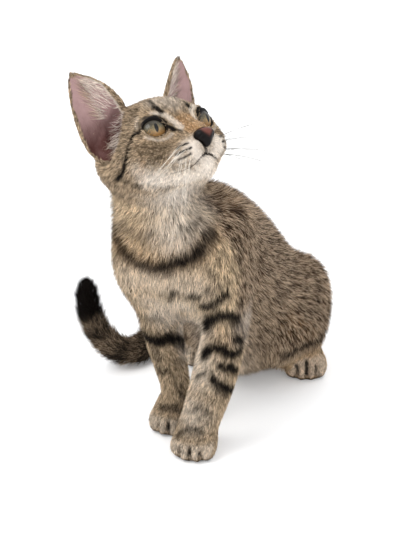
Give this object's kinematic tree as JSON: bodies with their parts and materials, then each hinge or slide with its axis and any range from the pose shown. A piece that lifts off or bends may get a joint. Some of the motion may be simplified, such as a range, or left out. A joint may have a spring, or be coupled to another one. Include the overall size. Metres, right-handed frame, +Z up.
{
  "type": "domestic cat, tabby kitten, sitting",
  "caption": "Life-size museum model of a sitting tabby kitten with one forepaw forward, its head raised and turned, and its tail round its side.",
  "frame": {"origin": "on the floor, below the middle of the bounding box", "axes": "+Z up; the chest faces -Y, the kitten's left side is towards +X"},
  "size_m": [0.1788, 0.254, 0.2701],
  "materials": {
    "coat_front": "short, soft, matt fur, buff to pale, with dark bands",
    "coat_back": "short, soft, matt fur, grizzled dark brown",
    "coat_tail": "short, soft, matt fur, grizzled dark grey",
    "coat_black": "short, soft, matt black fur",
    "ear_skin": "thin skin, pink inside, short brown fur outside",
    "nose_leather": "moist bare skin, dark round a brick-red top",
    "eye": "wet, clear surface over a grey-green and amber iris"
  },
  "bodies": {
    "root": {"abdomen": "coat_back", "ear_left": "ear_skin", "ear_right": "ear_skin", "eye_left": "eye", "eye_right": "eye", "foreleg_left": "coat_front", "foreleg_right": "coat_front", "forepaw_left": "coat_front", "forepaw_right": "coat_front", "head": "coat_front", "hindfoot_left": "coat_front", "hindfoot_right": "coat_front", "neck": "coat_front", "nose": "nose_leather", "rump": "coat_back", "shoulder_left": "coat_front", "shoulder_right": "coat_front", "tail_base": "coat_tail", "tail_end": "coat_tail", "tail_middle": "coat_tail", "tail_tip": "coat_black", "thigh_left": "coat_back", "thigh_right": "coat_back", "thorax": "coat_front"}
  },
  "joints": []
}
